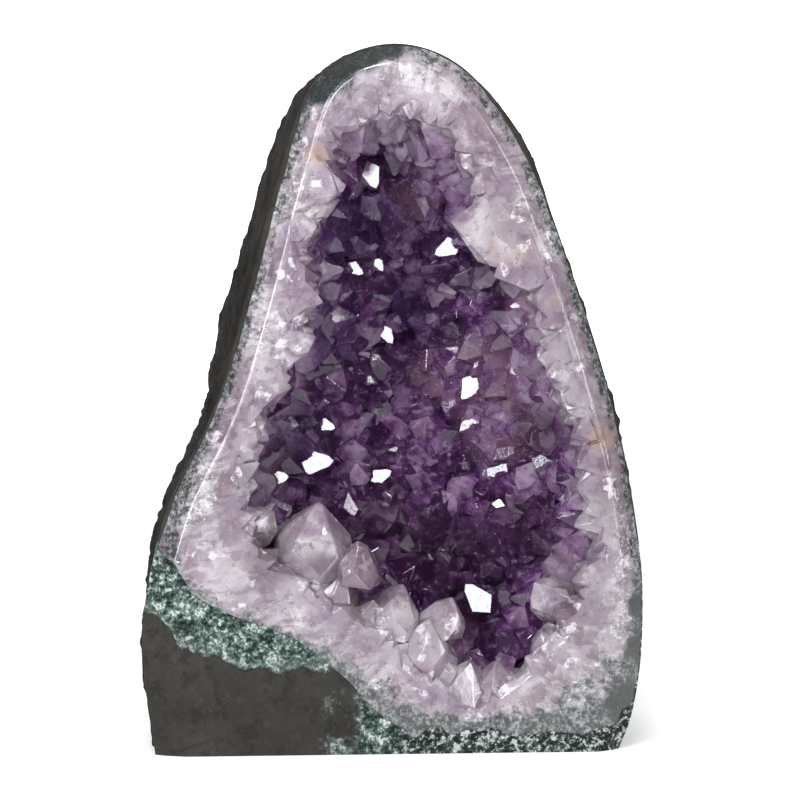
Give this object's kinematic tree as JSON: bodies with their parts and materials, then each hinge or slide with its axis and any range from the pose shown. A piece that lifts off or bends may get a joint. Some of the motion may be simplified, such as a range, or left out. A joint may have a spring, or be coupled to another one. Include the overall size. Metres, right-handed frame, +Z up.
{
  "type": "amethyst cathedral geode",
  "caption": "Upright basalt geode sawn open at the front: a flat base, a polished rim of pale banded quartz and a deep hollow lined with purple quartz crystals.",
  "frame": {"origin": "on the flat sawn base, under the middle of the stone's box", "axes": "+Z up along the height, from the sawn base to the top; the polished open face looks along -Y; +X is the right side as seen from the front"},
  "size_m": [0.2168, 0.15, 0.3011],
  "materials": {
    "basalt": "rough dark grey-brown basalt rind, sawn flat and smooth on the face and base, with granular grey-green celadonite above the foot",
    "quartz": "polished milky white to pale lilac quartz band, high gloss, columns at right angles to the rim, dark specks at the outer edge",
    "amethyst": "clear to deep violet quartz crystals with flat glassy faces, milky and pale lilac near the rim, refractive index 1.544"
  },
  "bodies": {
    "root": {"basalt_shell": "basalt", "quartz_band": "quartz", "amethyst_crust": "amethyst"}
  },
  "joints": []
}
